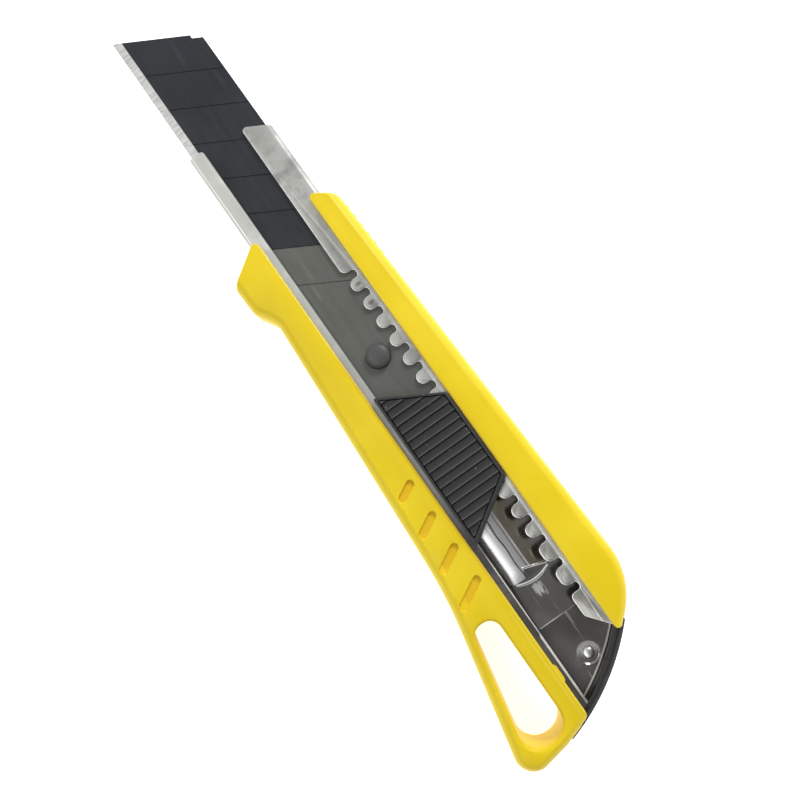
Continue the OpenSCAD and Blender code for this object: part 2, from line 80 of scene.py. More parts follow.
# %% [markdown]
# ## Shader arithmetic
# Masks for wear, scratches and colour are sums and products of numbers that vary over the
# surface. Each could be wired by hand in the node editor, but long sums get hard to read there.
# A small class wraps a socket and lets them be written as ordinary expressions.

# %% A class for sockets
class Value:
    def __init__(self, owner, socket):
        self.owner, self.socket = owner, socket

    def maths(self, operation, *numbers):
        return self.owner.node("ShaderNodeMath", {"operation": operation}, numbers)

    def __add__(self, other):
        return self.maths("ADD", self, other)

    def __sub__(self, other):
        return self.maths("SUBTRACT", self, other)

    def __rsub__(self, other):
        return self.maths("SUBTRACT", other, self)

    def __mul__(self, other):
        return self.maths("MULTIPLY", self, other)

    __radd__, __rmul__ = __add__, __mul__

    def size(self):
        return self.maths("ABSOLUTE", self)

    def root(self):
        return self.maths("SQRT", self)

    def wave(self):
        return self.maths("SINE", self)

    def least(self, other):
        return self.maths("MINIMUM", self, other)

    def most(self, other):
        return self.maths("MAXIMUM", self, other)

    def rise(self, low, high):
        """0 below low, 1 above high, smooth between them; falls instead where low is above high."""
        ends = {0: self, 1: low, 2: high, 3: 0.0, 4: 1.0}
        if low > high:
            ends = {0: self, 1: high, 2: low, 3: 1.0, 4: 0.0}
        return self.owner.node("ShaderNodeMapRange", {"interpolation_type": "SMOOTHSTEP"}, ends)

    def within(self, low, high, soft):
        """1 between low and high, 0 outside, with soft ends."""
        return self.rise(low - soft, low + soft) * self.rise(high + soft, high - soft)


print("beside + - and *, a socket has", sorted(name for name in vars(Value) if not name.startswith("_")))

# %% [markdown]
# A node tree gets one method that adds any node, with its settings first and its sockets after
# them. A paint is such a tree in a material: it knows the place on the knife in millimetres, so
# that a mask can say where on the piece it lies, and it ends in one Principled shader.

# %% Classes for node trees and for paints
class Nodes:
    def __init__(self, tree):
        self.tree = tree
        self.tree.nodes.clear()

    def node(self, kind, settings=None, inputs=(), output=0):
        new = self.tree.nodes.new(kind)
        for key, value in (settings or {}).items():
            setattr(new, key, value)
        for key, value in inputs.items() if isinstance(inputs, dict) else enumerate(inputs):
            if isinstance(value, Value):
                self.tree.links.new(value.socket, new.inputs[key])
            else:
                new.inputs[key].default_value = value
        return Value(self, new.outputs[output])

    def parts(self, vector):
        """The three numbers of a vector."""
        split = self.node("ShaderNodeSeparateXYZ", {}, [vector])
        return [Value(self, socket) for socket in split.socket.node.outputs]

    def close(self, kind, surface):
        """Link the finished shader to the tree's output node."""
        end = self.tree.nodes.new(kind)
        self.tree.links.new(surface.socket, end.inputs["Surface"])


class Paint(Nodes):
    def __init__(self, name):
        self.material = bpy.data.materials.new(name)
        self.material.use_nodes = True
        super().__init__(self.material.node_tree)
        self.spot = self.node("ShaderNodeTexCoord", output="Object")
        parts = self.parts(self.spot)
        self.x, self.y, self.z = ((part - SHIFT[i]) * 1000 for i, part in enumerate(parts))

    def away(self, centre, share=1.0):
        """Distance in the knife's plane from a place, with the part along y counted by a share."""
        across, up = self.x - centre[0], self.y - centre[1]
        return (across * across + up * up * share).root()

    def speckle(self, scale, detail=3.0, stretch=(1, 1, 1), turn=0.0):
        """Noise, drawn out where stretch is below 1 and turned about the upright axis."""
        place = self.node("ShaderNodeMapping", {}, {0: self.spot, 2: (0, 0, turn), 3: stretch})
        return self.node("ShaderNodeTexNoise", {}, {"Vector": place, "Scale": scale, "Detail": detail})

    def blend(self, mask, a, b):
        """Colour a where the mask is 0 and colour b where it is 1."""
        a, b = (c if isinstance(c, Value) else (*c, 1) for c in (a, b))
        return self.node("ShaderNodeMix", {"data_type": "RGBA"}, {0: mask, 6: a, 7: b}, output=2)

    def finish(self, colour, rough, relief, depth, **fixed):
        """Close the tree; relief is the bump's height and depth its size in metres."""
        sockets = {key.replace("_", " "): value for key, value in fixed.items()}
        sockets["Base Color"] = colour
        sockets["Roughness"] = rough
        sockets["Normal"] = self.node("ShaderNodeBump", {}, {"Height": relief, "Distance": depth})
        self.close("ShaderNodeOutputMaterial", self.node("ShaderNodeBsdfPrincipled", {}, sockets))
        print(self.material.name, "has", len(self.tree.nodes), "nodes")
        return self.material


def shade(colour, factor, most=2.0):
    """A colour made darker or lighter, with no channel above the most."""
    return tuple(min(most, c * factor) for c in colour)


print("half of a mid grey is", shade((0.5, 0.5, 0.5), 0.5))

# %% [markdown]
# ## Yellow plastic
# The grip is satin moulded plastic. Close up it has a very fine texture, a slightly cloudy colour,
# and a few handling marks that are a little shinier. One flat colour with noise in the roughness
# would look new. This finish also paints light and shade into the colour: an orange painted shade
# beside the slider, a painted highlight along the window's edges, a painted highlight streak by the
# tail, and painted shade inside the four dents.

# %% Yellow plastic
paint = Paint("yellow plastic")
cloud = paint.speckle(60, 4)
grain = paint.speckle(2600, 2)
marks = paint.speckle(240, 5, (1, 0.3, 1)).rise(0.60, 0.74)
yellow = paint.blend(cloud.rise(0.35, 0.7), (0.81, 0.600, 0.008), (0.86, 0.655, 0.018))
# Painted orange shade along the rails' inner edges beside the slider.
by_slider = paint.y.within(0.75, 8.0, 0.25).most(paint.y.within(9.0, 16.6, 0.25))
painted_shading = by_slider * paint.x.within(92, 150, 6) * (0.55 + 0.5 * cloud)
yellow = paint.blend(painted_shading * 0.75, yellow, (0.56, 0.27, 0.008))
# A painted highlight along the window's rounded top edges.
window_edges = paint.y.within(0.92, 1.1, 0.05).most(paint.y.within(16.3, 16.5, 0.05))
painted_window_highlight = paint.z.rise(1.88, 2.02) * window_edges
# A painted highlight streak on the lower rail by the tail, along the window's edge.
painted_highlight_streak = paint.y.within(0.0, 0.25, 0.15) * paint.x.within(156, 181, 1.5) * cloud.rise(0.2, 0.5)
yellow = paint.blend((painted_window_highlight * 0.35).most(painted_highlight_streak * 0.4), yellow, (0.93, 0.80, 0.22))
# Painted shade inside the four dents.
painted_dent_shade = paint.z.rise(2.05, 1.6) * paint.y.within(-5.9, -0.75, 0.15) * paint.x.within(120.5, 151, 0.5)
yellow = paint.blend(painted_dent_shade * 0.55, yellow, (0.72, 0.42, 0.008))
satin = 0.38 + 0.10 * cloud - 0.08 * marks
YELLOW = paint.finish(yellow, satin, grain + marks * 0.4, 0.00002, Specular_IOR_Level=0.3)

# %% [markdown]
# ## Rolled steel
# The channel is bright rolled sheet. It is satin and fairly clean in front. Behind the slider it is
# more mirror-like, where grease and use have polished it, and its colour is darker, a painted dark
# reflection, with the upper lip's lobes kept lighter. Rolling leaves faint lines along its length,
# and handling leaves smudges, flecks and scratches that cross them. Two finishes on two pieces
# would show a hard border, so one finish turns into the other along x.

# %% Colour, roughness and height of rolled sheet
STEEL_DEPTH = 0.000012


def rolled(paint, light, dark, rough):
    lines = paint.speckle(900, 3, (0.04, 1, 1))
    cloud = paint.speckle(110, 5)
    smudge = paint.speckle(170, 6, (1, 0.7, 1)).rise(0.52, 0.68)
    scratch = paint.speckle(1500, 2, (0.03, 1, 1), 0.5).rise(0.66, 0.72)
    pits = paint.speckle(1300, 2).rise(0.70, 0.76)
    fleck = paint.speckle(620, 4).rise(0.50, 0.64)
    back = paint.x.rise(122, 142)
    handled = paint.x.within(45, 53, 4) * paint.y.rise(10, 13) * cloud.rise(0.45, 0.6)
    grime = (smudge * 0.35 + handled * 0.7).least(1.0) * (1 - back)
    front = paint.blend(cloud.rise(0.3, 0.7), light, shade(light, 0.80))
    front = paint.blend(grime, front, shade(light, 0.35))
    front = paint.blend(fleck * (1 - back) * 0.35, front, shade(light, 0.55))
    front = paint.blend(paint.y.rise(4.2, 3.2), front, shade(light, 1.2, 0.92))
    # Behind the slider the colour turns to the darker one, a painted dark reflection, and the upper lip's
    # lobes stay lighter.
    lobe = paint.z.rise(-1.0, 0.0) * paint.y.rise(8, 9)
    rear = paint.blend(lobe, dark, shade(dark, 3.6, 0.9))
    rear = paint.blend(cloud.rise(0.35, 0.65) * 0.6, rear, shade(dark, 1.7))
    rear = paint.blend((scratch * 0.5 + pits * 0.4).least(1.0), rear, light)
    colour = paint.blend(back, front, rear)
    rough = rough + 0.10 * cloud + 0.10 * smudge + 0.15 * scratch - back * 0.12
    return colour, rough, lines + scratch + cloud * 2, cloud, back


def plain_steel(name, light, dark, rough):
    paint = Paint(name)
    colour, rough, relief, *_ = rolled(paint, light, dark, rough)
    return paint.finish(colour, rough, relief, STEEL_DEPTH, Metallic=1.0)


RIVET = plain_steel("rivet steel", (0.62, 0.62, 0.60), (0.56, 0.56, 0.54), 0.36)
SPRING = plain_steel("spring steel", (0.60, 0.61, 0.62), (0.50, 0.50, 0.50), 0.25)
# Bright steel for painted highlights on the punched edges and the liner's folds.
BRIGHT = plain_steel("painted highlight steel", (0.90, 0.90, 0.88), (0.82, 0.82, 0.80), 0.18)

# %% [markdown]
# ## Sheath steel
# The sheath adds marks of its own. Painted highlights stand for cut edges catching the light: the
# lower lip behind the slider, the floor's round end, and the lit side of the rivet's dimple's rim.
# Two lobes of the upper lip carry a dark dint from a punch, the upper fold is dull, and the wall
# under the lower lip gets painted shade. Painted masks are used, because these marks are thinner
# than any edge worth modelling.

# %% Sheath steel
LIP_TAPER = 0.0028
paint = Paint("sheath steel")
colour, rough, relief, cloud, back = rolled(paint, (0.66, 0.66, 0.625), (0.26, 0.25, 0.235), 0.28)
on_top = paint.z.rise(0.5, 0.7)
for dint_x in (79.5, 84.5):
    dint = paint.away((dint_x, 14.1), 0.4).rise(0.62, 0.30) * on_top
    colour = paint.blend(dint * cloud.rise(0.2, 0.6) * 0.7, colour, (0.16, 0.16, 0.15))
lip_edge = LOW_LIP - (paint.x - 120).most(0.0) * LIP_TAPER
wide = 0.26 + 0.22 * paint.x.rise(162.5, 163.5)
on_lip = on_top * (paint.y - lip_edge + wide).rise(-0.06, 0.06) * paint.y.rise(3.4, 3.1)
on_arc = paint.away(TAIL_C).rise(SHEATH_R - 0.5, SHEATH_R - 0.3) * paint.z.rise(-3.6, -3.9)
ring = paint.away(RIVET_AT)
lit_side = (RIVET_AT[0] - paint.x + (paint.y - RIVET_AT[1]) * 0.4).rise(-1.2, 1.6)
on_ring = ring.rise(1.3, 1.7) * ring.rise(2.8, 2.3) * lit_side
# Painted highlights on the lower lip's edge, the floor's round end and the dimple's lit rim.
painted_edge_highlights = (on_lip * back * 0.9).most(on_arc * 0.85).most(on_ring * 0.75) * cloud.rise(0.15, 0.5)
colour = paint.blend(painted_edge_highlights, colour, (0.80, 0.79, 0.76))
fold = paint.y.rise(17.5, 18.3) * (1 - back)
colour = paint.blend(fold * (0.55 + 0.35 * cloud), colour, (0.36, 0.36, 0.35))
# Painted shade on the wall under the lower lip, in front of the slider.
painted_lip_wall_shade = (1 - back) * paint.y.within(2.80, 3.3, 0.03) * paint.z.rise(-0.3, -0.1)
colour = paint.blend(painted_lip_wall_shade * 0.8, colour, (0.20, 0.20, 0.19))
rough = rough + 0.2 * painted_edge_highlights + 0.4 * painted_lip_wall_shade + 0.25 * fold
SHEATH = paint.finish(colour, rough, relief, STEEL_DEPTH, Metallic=1 - 0.75 * painted_edge_highlights)

# %% [markdown]
# ## Liner steel
# The liner is harder, shinier sheet. Its rib has a painted highlight on one side, with one thin
# painted dark reflection line along it and a second thin painted highlight beside it, and is darker
# and brownish on the other side. Behind the rib, a scuffed patch marks the spot weld. A mask on
# height tells the rib from the flat strip, which keeps the finish on one piece and one material.

# %% Liner steel
paint = Paint("liner steel")
cloud = paint.speckle(120, 5)
lines = paint.speckle(1100, 3, (0.04, 1, 1))
scratch = paint.speckle(1500, 2, (0.03, 1, 1), 0.2).rise(0.64, 0.72)
on_rib = paint.z.rise(-3.69, -3.62) * paint.x.rise(152.6, 152.3)
# A painted highlight on the rib's lit side.
painted_rib_highlight = on_rib * paint.y.rise(8.95, 8.35)
# A thin painted dark reflection line along the highlight.
wander = paint.y - 7.07 + 0.10 * (paint.x * 0.9).wave()
painted_reflection_line = wander.size().rise(0.24, 0.10) * painted_rib_highlight
scuff = paint.speckle(1300, 4, (0.3, 1, 1)).rise(0.42, 0.60)
weld = paint.x.within(154.2, 157.6, 0.5) * paint.y.within(7.0, 9.2, 0.4)
tails = paint.x.within(157.0, 161.5, 0.8) * paint.y.within(7.6, 8.8, 0.3) * scratch
# A second thin painted highlight beside the first.
painted_second_highlight = on_rib * paint.y.within(8.9, 9.35, 0.15)
rear_edge = paint.x.rise(162.6, 162.75) * cloud.rise(0.3, 0.6)
colour = paint.blend(on_rib, (0.37, 0.36, 0.34), (0.42, 0.37, 0.27))
colour = paint.blend(cloud.rise(0.35, 0.65) * 0.5, colour, (0.58, 0.57, 0.53))
colour = paint.blend(painted_rib_highlight.most(painted_second_highlight * 0.8), colour, (0.93, 0.93, 0.94))
colour = paint.blend((scuff * weld + tails + scratch * 0.3).least(1.0) * 0.8, colour, (0.62, 0.62, 0.60))
colour = paint.blend(painted_reflection_line * 0.85, colour, (0.05, 0.05, 0.05))
colour = paint.blend(rear_edge * 0.8, colour, (0.72, 0.71, 0.68))
matt = (weld * scuff + rear_edge + painted_second_highlight * 0.5 + painted_rib_highlight * 0.15).least(1.0)
LINER = paint.finish(colour, 0.14 + 0.10 * cloud + 0.25 * matt, lines + scratch + cloud * 3, 0.00001,
                     Metallic=1 - 0.6 * matt)

# %% [markdown]
# ## Blade finishes
# The blade is blackened: dark, slightly blue, with faint streaks from rolling. The cutting edge is
# ground after blackening, so a bright band shows along it, with fine grinding lines square to the
# edge. The last segment and the tang are plainer, grey with a touch of green. The ground band is
# a mask along y, as the grinding wheel would leave it, so that it runs on from tile to tile.

# %% Blade finishes
def blade_paint(name, coat, pale):
    paint = Paint(name)
    streaks = paint.speckle(700, 3, (0.08, 1, 1), math.radians(35))
    cloud = paint.speckle(90, 4)
    scuff = paint.speckle(420, 5, (0.15, 1, 1), math.radians(-35)).rise(0.62, 0.72)
    grind = paint.speckle(2400, 3, (1, 0.03, 1), math.radians(8))
    ground = paint.y.rise(1.98, 1.86)
    body = paint.blend(cloud.rise(0.3, 0.7) * 0.5 + streaks.rise(0.3, 0.7) * 0.5, coat, pale)
    body = paint.blend(scuff * 0.35, body, shade(coat, 2.0))
    edge = paint.blend(grind.rise(0.35, 0.65), (0.58, 0.58, 0.56), (0.76, 0.76, 0.74))
    rough = 0.42 + 0.10 * streaks - 0.04 * ground
    return paint.finish(paint.blend(ground, body, edge), rough, streaks + grind * ground * 2, 0.00001,
                        Metallic=0.55 + 0.45 * ground)


BLADE = blade_paint("black blade steel", (0.026, 0.030, 0.035), (0.038, 0.042, 0.049))
TANG = blade_paint("grey blade steel", (0.125, 0.129, 0.114), (0.155, 0.159, 0.142))

# %% [markdown]
# ## Dark plastics
# The slider and its pad are dark grey nylon. The pad's ribs get painted shade in their valleys and
# lighter crests, partly painted highlight and partly wear, and the slider is lighter round its peg.
# The end cap is blacker, with a painted highlight on its outer rim. They could be three materials
# drawn one by one, but they differ only in colour and in where they are shaded and lightened, so one
# function makes all three.

# %% Slider, pad and end cap
def dark_plastic(name, deep, light, rough, crest=None, lightened=None):
    paint = Paint(name)
    cloud = paint.speckle(220, 4)
    grain = paint.speckle(3200, 2)
    dust = paint.speckle(900, 3).rise(0.69, 0.76)
    colour = paint.blend(cloud.rise(0.3, 0.75), deep, light)
    if crest:
        valley, peak, painted_shading = crest
        # Painted shade in the ribs' valleys, darker the lower the surface.
        colour = paint.blend(paint.z.rise(valley, peak), shade(deep, 0.45), colour)
        # Lighter crests: partly painted highlight, partly wear.
        colour = paint.blend(paint.z.rise(peak - 0.05, peak + 0.02) * 0.8, colour, painted_shading)
    if lightened:
        colour = paint.blend(lightened(paint), colour, (0.115, 0.113, 0.112))
    colour = paint.blend(dust * 0.5, colour, (0.25, 0.24, 0.23))
    return paint.finish(colour, rough + 0.12 * cloud, grain + cloud, 0.00003, Specular_IOR_Level=0.5)


# The slider is lighter in front, round its peg.
def on_peg(paint):
    return paint.x.rise(100, 99) * 0.55


# A painted highlight on the end cap's outer rim.
def painted_rim_highlight(paint):
    return paint.away(TAIL_C).rise(CAP_OUT_R - 1.1, CAP_OUT_R - 0.5) * 0.42


SLIDER = dark_plastic("slider plastic", (0.024, 0.023, 0.025), (0.034, 0.032, 0.035), 0.36, lightened=on_peg)
PAD = dark_plastic("pad plastic", (0.022, 0.022, 0.023), (0.032, 0.032, 0.034), 0.42,
                   crest=(2.85, 3.34, (0.085, 0.083, 0.080)))
CAP = dark_plastic("cap plastic", (0.010, 0.010, 0.011), (0.016, 0.016, 0.017), 0.34, lightened=painted_rim_highlight)

# %% [markdown]
# ## Outlines
# Most pieces of a knife are flat shapes with rounded corners. An outline is written as its
# corners, each with a radius, and this turns it into points. It can be drawn smaller by an even
# inset, or larger by a negative one, which is what a rounded rim needs. A corner may carry a
# fourth number: the share of the inset that the edge after it takes, where a side is rounded less.

# %% Corner lists into points
def rounded(corners, inset=0.0, step=7.0, least=0.05):
    """Points of an outline; step is the angle of one facet and least the smallest radius."""
    points = []
    for i, (*here, radius) in enumerate([corner[:3] for corner in corners]):
        here = Vector(here)
        before, after = Vector(corners[i - 1][:2]), Vector(corners[(i + 1) % len(corners)][:2])
        u, v = (here - before).normalized(), (after - here).normalized()
        a, b = Vector((-u.y, u.x)), Vector((-v.y, v.x))
        share_a, share_b = (c[3] if len(c) > 3 else 1 for c in (corners[i - 1], corners[i]))
        if share_a == share_b:
            corner = here + inset * share_a * (a + b) / (1 + a.dot(b))
        else:
            corner = here + inset * (share_a * a + u * (share_b - share_a * a.dot(b)) / u.dot(b))
        if radius == 0:
            points.append((corner.x, corner.y))
            continue
        side = 1 if u.x * v.y - u.y * v.x > 0 else -1
        angle = math.acos(max(-1, min(1, u.dot(v))))
        r = max(least, radius - side * inset * (share_a + share_b) / 2)
        first = corner - u * r * math.tan(angle / 2)
        centre = first + side * r * a
        arm = first - centre
        steps = max(3, math.ceil(math.degrees(angle) / step))
        for t in (side * angle * k / steps for k in range(steps + 1)):
            points.append((centre.x + arm.x * math.cos(t) - arm.y * math.sin(t),
                           centre.y + arm.x * math.sin(t) + arm.y * math.cos(t)))
    return points


def level(points, z):
    return [(x, y, z) for x, y in points]


def flat(vectors):
    return [(p.x, p.y) for p in vectors]


SQUARE = [(0, 0, 1), (9, 0, 1), (9, 9, 1), (0, 9, 1)]
print("a square with round corners has", len(rounded(SQUARE)), "points")

# %% [markdown]
# ## Solids from rings
# A solid is grown as by hand: a filled circle with the right number of points is laid on the first
# ring, then its face is extruded again and again, and each time its points are placed on the next
# ring. A cube with bevelled edges would be quicker, but it has one radius for all its corners.
# The ends stay closed, so a cut in the solid stays clean.

# %% Extrude from ring to ring
def pick(piece):
    if bpy.context.object and bpy.context.object.mode != "OBJECT":
        bpy.ops.object.mode_set(mode="OBJECT")
    bpy.ops.object.select_all(action="DESELECT")
    if piece:
        piece.select_set(True)
        bpy.context.view_layer.objects.active = piece


def grow(name, rings):
    pick(None)
    bpy.ops.mesh.primitive_circle_add(vertices=len(rings[0]), fill_type="NGON")
    piece = bpy.context.object
    piece.name = piece.data.name = name
    bpy.ops.object.mode_set(mode="EDIT")
    mesh = bmesh.from_edit_mesh(piece.data)
    number = mesh.verts.layers.int.new("number")
    for i, vert in enumerate(list(mesh.verts)):
        vert[number] = i
        vert.co = rings[0][i]
    for ring in rings[1:]:
        bpy.ops.mesh.extrude_region_move()
        mesh = bmesh.from_edit_mesh(piece.data)
        number = mesh.verts.layers.int["number"]
        for vert in mesh.verts:
            if vert.select:
                vert.co = ring[vert[number]]
    bmesh.update_edit_mesh(piece.data)
    bpy.ops.mesh.select_all(action="SELECT")
    bpy.ops.mesh.normals_make_consistent(inside=False)
    bpy.ops.object.mode_set(mode="OBJECT")
    piece.data.attributes.remove(piece.data.attributes["number"])
    print(name, "grown through", len(rings), "rings of", len(rings[0]), "points")
    return piece


def prism(name, points, z0, z1):
    return grow(name, [level(points, z0), level(points, z1)])


# %% [markdown]
# ## Cutting and joining
# Windows, holes and slots are cut with a second solid, as a milling cutter would, and bosses are
# joined on. The Boolean modifier does both. It is applied at once, so that the next step works on
# the real faces, and the cutter is thrown away.

# %% Cut, join or intersect
def combine(piece, *tools, how="DIFFERENCE"):
    for tool in tools:
        pick(piece)
        bpy.ops.object.modifier_add(type="BOOLEAN")
        modifier = piece.modifiers[-1]
        modifier.operation = how
        modifier.solver = "MANIFOLD"
        modifier.object = tool
        bpy.ops.object.modifier_apply(modifier=modifier.name)
        bpy.data.objects.remove(tool)
    print(piece.name, "after", how.lower(), "has", len(piece.data.polygons), "faces")
    return piece


# %% [markdown]
# ## Handing a piece over
# A finished piece is moved into the frame, and its faces are shaded smooth except across sharp
# edges. It is then tied to the body it moves with, and the nodes it stands for are hidden. The
# sheath also takes a brighter steel on its punched edges, which a rule picks by place and direction.

# %% Finish a piece
def hand_over(piece, material, body, slot, *nodes, smooth=30, lightened=None):
    pick(piece)
    bpy.ops.object.mode_set(mode="EDIT")
    bpy.ops.mesh.select_all(action="SELECT")
    bpy.ops.mesh.remove_doubles(threshold=0.0004)
    bpy.ops.mesh.normals_make_consistent(inside=False)
    bpy.ops.object.mode_set(mode="OBJECT")
    bpy.ops.object.shade_smooth_by_angle(angle=math.radians(smooth))
    piece.data.materials.clear()
    piece.data.materials.append(material)
    # Faces picked by the rule take the bright steel as a painted highlight.
    if lightened:
        piece.data.materials.append(BRIGHT)
        for face in piece.data.polygons:
            face.material_index = int(lightened(face.center, face.normal))
    piece.data.transform(TO_FRAME)
    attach(piece, body)
    if nodes:
        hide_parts(*nodes)
    size = [round(d * 1000, 1) for d in piece.dimensions]
    print(piece.name, "is", size, "mm with", len(piece.data.polygons), "faces")


# %% [markdown]
# ## Grip: the block
# The grip is one moulding. Its outline has a guard scoop behind the lower front corner, and a
# curved tail. The outer edges are well rounded, so the block is grown from rings that first widen
# and then narrow. The front is rounded less, and on top the rounding stops short, which leaves a
# faint crease along the rails. A Bevel modifier would round every edge alike.

# %% Grip outline
LOW_A, HIGH_A, FRONT = 7.2, 48.3, 0.34
half_span = math.radians((HIGH_A - LOW_A) / 2)
tail_middle = on_tail((LOW_A + HIGH_A) / 2, 0, TAIL_R / math.cos(half_span))
low_corner = on_tail(LOW_A, -6.1) + Vector((-0.05, 0.083))
high_corner = on_tail(HIGH_A, 7.2)
GRIP = [(57.2, 1.4, 1.8, FRONT), (64.2, -8.8, 2.4), (71.4, -8.5, 3.5), (76.4, -5.5, 5), (145.4, -9, 100),
        (*low_corner, 4.2), (*tail_middle, TAIL_R), (*high_corner, 16),
        (59.6, 22.1, 3.2, FRONT), (55.9, 16.4, 1.2, FRONT)]
print("grip outline", len(rounded(GRIP)), "points")

# %% Grip block
EDGE_R, EDGE_STEPS = 3.0, 8
CREASE = math.radians(20)


def quarter(r, steps):
    """A rounded edge as pairs: how far in from the side, and how far from the face."""
    angles = [math.radians(90 * k / steps) for k in range(steps + 1)]
    return [(r * (1 - math.sin(a)), r * (1 - math.cos(a))) for a in angles]


rings = [level(rounded(GRIP, side, least=0.3), BOTTOM + up) for side, up in quarter(EDGE_R, EDGE_STEPS)]
for k in range(EDGE_STEPS, -1, -1):
    a = CREASE + (math.pi / 2 - CREASE) * k / EDGE_STEPS
    drop = EDGE_R * (math.cos(CREASE) - math.cos(a)) / math.cos(CREASE)
    rings.append(level(rounded(GRIP, EDGE_R * (1 - math.sin(a)), least=0.3), TOP - drop))
grip = grow("grip", rings)

# %% [markdown]
# ## Grip: small teeth
# Six small teeth stand on the upper side near the front, for a finger to hold on to. Each is a
# short upright rod with round ends, half sunk in the side. They are turned shapes, joined to the
# block, because teeth drawn into the outline would have no round ends.

# %% Grip teeth
FIRST_TOOTH, TOOTH_PITCH, SIDE_SLOPE = 63.5, 2.52, 0.034
TOOTH = [(0.2, -5.8), (0.45, -5.6), (0.5, -5.3), (0.5, -1.0), (0.45, -0.6), (0.2, -0.4)]


def turned(name, centre, profile, count=48):
    """A turned shape: rings of the profile's radii and heights round an upright axis."""
    turns = [2 * math.pi * i / count for i in range(count)]
    return grow(name, [[(centre[0] + r * math.cos(t), centre[1] + r * math.sin(t), z) for t in turns]
                       for r, z in profile])


for i in range(6):
    x = FIRST_TOOTH + TOOTH_PITCH * i
    y = 22.1 + (x - 59.4) * SIDE_SLOPE - 0.25
    combine(grip, turned("tooth", (x, y), TOOTH, 16), how="UNION")

# %% [markdown]
# ## Grip: window and pocket
# A window runs along the top, so that the slider can be reached, and a pocket under it takes the
# steel channel. The window's edge is lightly rounded. Its cutter flares outwards near the top,
# which leaves that rounding in the same cut, with no bevel to apply afterwards.

# %% Window and pocket
WINDOW = [(40, -6, 0), (62.64, -6, 0), (57.7, 1.2, 1.3), (181.66, 1.2, 1.5), (183.55, -4.4, 0),
          (192, -4.4, 0), (192, 26, 0), (170.9, 26, 0), (170.9, 16.2, 1.2), (56.25, 16.2, 1.1),
          (62.6, 26, 0), (40, 26, 0)]


def swelled(points, d):
    """The outline moved outwards by d at each point."""
    out = []
    for i, p in enumerate(points):
        u = (Vector(p) - Vector(points[i - 1])).normalized()
        v = (Vector(points[(i + 1) % len(points)]) - Vector(p)).normalized()
        n = Vector((u.y, -u.x)) + Vector((v.y, -v.x))
        n = n / max(0.4, n.length_squared / 2)
        out.append((p[0] + n.x * d, p[1] + n.y * d))
    return out


def flared(name, points, z0, z1, r, steps=4):
    """A cutter whose wall turns outwards by r as it reaches z1, which leaves a rounded edge."""
    rings = [level(points, z0)]
    rings += [level(swelled(points, side), z1 - down) for side, down in reversed(quarter(r, steps))]
    return grow(name, rings + [level(swelled(points, r), z1 + 1)])


def block(name, low, high):
    (a, b, c), (d, e, f) = low, high
    return prism(name, [(a, b), (d, b), (d, e), (a, e)], c, f)


window = flared("window", rounded(WINDOW), 0.7, TOP, 0.28)
combine(grip, window, block("pocket", (50, -1.05, -4.8), (192, 19.05, 0.85)))

# %% [markdown]
# ## Grip: finger hole and dents
# A hole through the tail takes a finger or a cord, and four slanted dents beside the slider, each
# longer than the last, stop the thumb from slipping. The hole is rounded on both faces, so its
# cutter is wide, then narrow, then wide again. The dents are shallow slots with round ends.

# %% Finger hole
HOLE = [(154.2, -3.1, 2.7), (154.2, -8.6, 2.6), (182, -14, 4.5), (182, -3.1, 5)]
HOLE_EDGE_R = 0.8
hole_rings = []
for z, side in ((BOTTOM, 1), (TOP, -1)):
    lips = [level(rounded(HOLE, -wide), z + side * up) for wide, up in quarter(HOLE_EDGE_R, 4)]
    far = level(rounded(HOLE, -HOLE_EDGE_R), z - side)
    hole_rings += [far] + lips if side > 0 else lips[::-1] + [far]
combine(grip, grow("hole", hole_rings))

# %% Four dents
DENT_PITCH, DENT_LEN, DENT_GROWTH, DENT_HALF = 8.1, 3.4, 0.95, 0.85
DENT_DEPTH, DENT_END_R, DENT_LEAN = 0.7, 0.84, math.radians(28)
ahead = Vector((math.sin(DENT_LEAN), -math.cos(DENT_LEAN)))
across = Vector((-ahead.y, ahead.x)) * DENT_HALF
for i in range(4):
    near = Vector((121.8 + DENT_PITCH * i, -1.6)) - ahead * DENT_HALF
    far = near + (DENT_LEN + DENT_GROWTH * i + 2 * DENT_HALF) * ahead
    dent = [(*corner, DENT_END_R) for corner in (near - across, far - across, far + across, near + across)]
    combine(grip, flared("dent", rounded(dent, step=12), TOP - DENT_DEPTH, TOP, 0.25))

# %% [markdown]
# ## Grip: the cap's seat and a bump
# The end cap sits in a crescent cut behind the channel, and a low bump stands on the lower rail's
# edge beside the rivet. The seat's cutter is drawn as a long part of a ring and then trimmed to
# the channel's width, because the same arcs shape the cap.

# %% Seat and bump, then hand over the grip
CAP_LOW, CAP_HIGH = -4.3, 19
outer_arc = flat(on_tail(a, 0, 60) for a in range(-8, 66, 2))
inner_arc = flat(on_tail(a, 0, CAP_IN_R) for a in range(64, -10, -2))
seat = prism("seat", outer_arc + inner_arc, BOTTOM - 1, 0.1)
combine(seat, block("band", (160, CAP_LOW - 0.1, BOTTOM - 2), (200, CAP_HIGH + 0.3, 0.2)), how="INTERSECT")
combine(grip, seat)
BUMP = [(168.6, 0.8, 0.3), (174, 0.8, 0.3), (172.8, 1.64, 0.8), (169.8, 1.64, 0.8)]
combine(grip, prism("bump", rounded(BUMP), 0.9, 1.8), how="UNION")
hand_over(grip, YELLOW, "handle", "yellow_plastic", "handle_body")

# %% [markdown]
# ## Sheath: the channel
# A strip of sheet is folded up into a channel. A strip bent along its folds and thickened with
# the Solidify modifier would do as well. Here the outer section is grown along x, and the inner
# one, smaller by the sheet's thickness, is cut from it, so every fold keeps a known radius.

# %% Sheath channel
SHEET = 0.7


